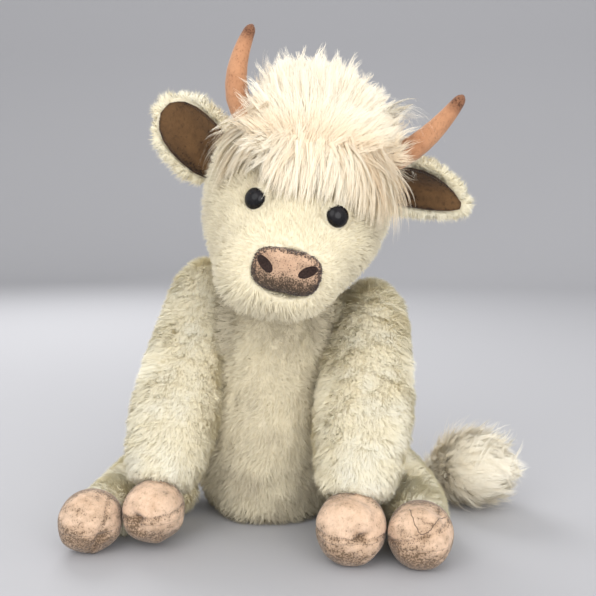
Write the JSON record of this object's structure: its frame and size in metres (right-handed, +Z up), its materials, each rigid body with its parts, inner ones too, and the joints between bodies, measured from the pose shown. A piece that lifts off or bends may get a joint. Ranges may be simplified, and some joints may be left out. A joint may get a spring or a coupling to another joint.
{
  "type": "plush cow",
  "caption": "Seated plush calf with a shaggy forelock, suede horns, hooves and nose, lined ears, a tufted tail, and disc joints that turn its head and legs",
  "frame": {"origin": "centre of the flat seat, on the surface that the toy sits on", "axes": "+Z up, the face looks along -Y, the cow's own left is +X"},
  "size_m": [0.2818, 0.1975, 0.3209],
  "materials": {
    "cream_fur": "soft curled plush pile",
    "long_hair": "long straight hair pile",
    "hoof_suede": "napped suedette",
    "horn_suede": "napped suedette with darker tips",
    "nose_suede": "napped suedette, stitched edge",
    "ear_suede": "smooth suedette lining",
    "dark_felt": "dark brown felt",
    "eye_black": "polished black",
    "eye_white": "white felt",
    "joint_plastic": "moulded, matt"
  },
  "bodies": {
    "torso": {"foreleg_left_base_disc": "joint_plastic", "foreleg_right_base_disc": "joint_plastic", "hindleg_left_base_disc": "joint_plastic", "hindleg_right_base_disc": "joint_plastic", "neck_base_disc": "joint_plastic", "neck_lock_washer": "joint_plastic", "tail": "cream_fur", "tail_tuft": "long_hair", "torso": "cream_fur"},
    "head": {"ear_left": "cream_fur", "ear_lining_left": "ear_suede", "ear_lining_right": "ear_suede", "ear_right": "cream_fur", "eye_backing_left": "eye_white", "eye_backing_right": "eye_white", "eye_left": "eye_black", "eye_right": "eye_black", "eye_washer_left": "joint_plastic", "eye_washer_right": "joint_plastic", "forelock": "long_hair", "head": "cream_fur", "horn_left": "horn_suede", "horn_right": "horn_suede", "neck_stem_disc": "joint_plastic", "nose_pad": "nose_suede", "nostril_left": "dark_felt", "nostril_right": "dark_felt"},
    "foreleg_right": {"foreleg_right": "cream_fur", "foreleg_right_hoof": "hoof_suede", "foreleg_right_lock_washer": "joint_plastic", "foreleg_right_sole": "hoof_suede", "foreleg_right_stem_disc": "joint_plastic"},
    "foreleg_left": {"foreleg_left": "cream_fur", "foreleg_left_hoof": "hoof_suede", "foreleg_left_lock_washer": "joint_plastic", "foreleg_left_sole": "hoof_suede", "foreleg_left_stem_disc": "joint_plastic"},
    "hindleg_right": {"hindleg_right": "cream_fur", "hindleg_right_hoof": "hoof_suede", "hindleg_right_lock_washer": "joint_plastic", "hindleg_right_sole": "hoof_suede", "hindleg_right_stem_disc": "joint_plastic"},
    "hindleg_left": {"hindleg_left": "cream_fur", "hindleg_left_hoof": "hoof_suede", "hindleg_left_lock_washer": "joint_plastic", "hindleg_left_sole": "hoof_suede", "hindleg_left_stem_disc": "joint_plastic"}
  },
  "joints": [
    {"name": "neck", "type": "hinge", "parent": "torso", "child": "head", "pos_m": [0.0185, -0.01201, 0.166], "axis": [0.2079, 0, 0.9781], "range_deg": [-25, 12]},
    {"name": "shoulder_right", "type": "hinge", "parent": "torso", "child": "foreleg_right", "pos_m": [-0.026, -0.012, 0.138], "axis": [-1, 0, 0], "range_deg": [0, 55]},
    {"name": "shoulder_left", "type": "hinge", "parent": "torso", "child": "foreleg_left", "pos_m": [0.042, -0.012, 0.138], "axis": [-1, 0, 0], "range_deg": [0, 32]},
    {"name": "hip_right", "type": "hinge", "parent": "torso", "child": "hindleg_right", "pos_m": [-0.044, -0.008, 0.034], "axis": [-1, 0, 0], "range_deg": [-95, 0]},
    {"name": "hip_left", "type": "hinge", "parent": "torso", "child": "hindleg_left", "pos_m": [0.044, -0.008, 0.034], "axis": [-1, 0, 0], "range_deg": [-95, 0]}
  ]
}
